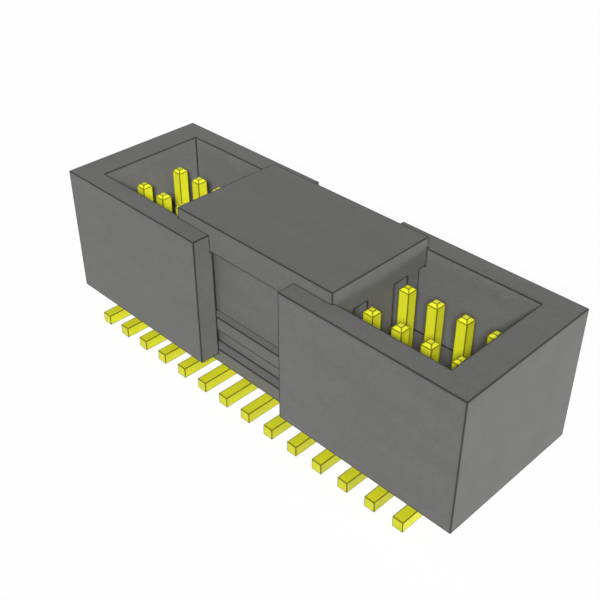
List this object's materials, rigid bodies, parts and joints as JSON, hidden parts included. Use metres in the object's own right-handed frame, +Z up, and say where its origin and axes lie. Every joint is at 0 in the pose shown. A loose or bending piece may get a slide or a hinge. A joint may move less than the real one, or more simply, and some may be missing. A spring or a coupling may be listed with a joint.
{
  "type": "board-to-board header",
  "caption": "Surface-mount board-to-board header: a notched rectangular shroud round rows of square contacts bent out to flat feet, with a removable pick-and-place pad.",
  "frame": {"origin": "on the board, under the middle of the housing", "axes": "+X along the contact rows, +Y across them with the front row at -Y, +Z up out of the board"},
  "size_m": [0.0202, 0.0072, 0.0071],
  "materials": {
    "housing_plastic": "satin moulded",
    "pad_plastic": "satin moulded",
    "contact_plating": "bright yellow plating"
  },
  "bodies": {
    "root": {"housing": "housing_plastic", "pick_and_place_pad": "pad_plastic", "contact_front_01": "contact_plating", "contact_front_02": "contact_plating", "contact_front_03": "contact_plating", "contact_front_04": "contact_plating", "contact_front_05": "contact_plating", "contact_front_06": "contact_plating", "contact_front_07": "contact_plating", "contact_front_08": "contact_plating", "contact_front_09": "contact_plating", "contact_front_10": "contact_plating", "contact_front_11": "contact_plating", "contact_front_12": "contact_plating", "contact_front_13": "contact_plating", "contact_front_14": "contact_plating", "contact_rear_01": "contact_plating", "contact_rear_02": "contact_plating", "contact_rear_03": "contact_plating", "contact_rear_04": "contact_plating", "contact_rear_05": "contact_plating", "contact_rear_06": "contact_plating", "contact_rear_07": "contact_plating", "contact_rear_08": "contact_plating", "contact_rear_09": "contact_plating", "contact_rear_10": "contact_plating", "contact_rear_11": "contact_plating", "contact_rear_12": "contact_plating", "contact_rear_13": "contact_plating", "contact_rear_14": "contact_plating"}
  },
  "joints": []
}
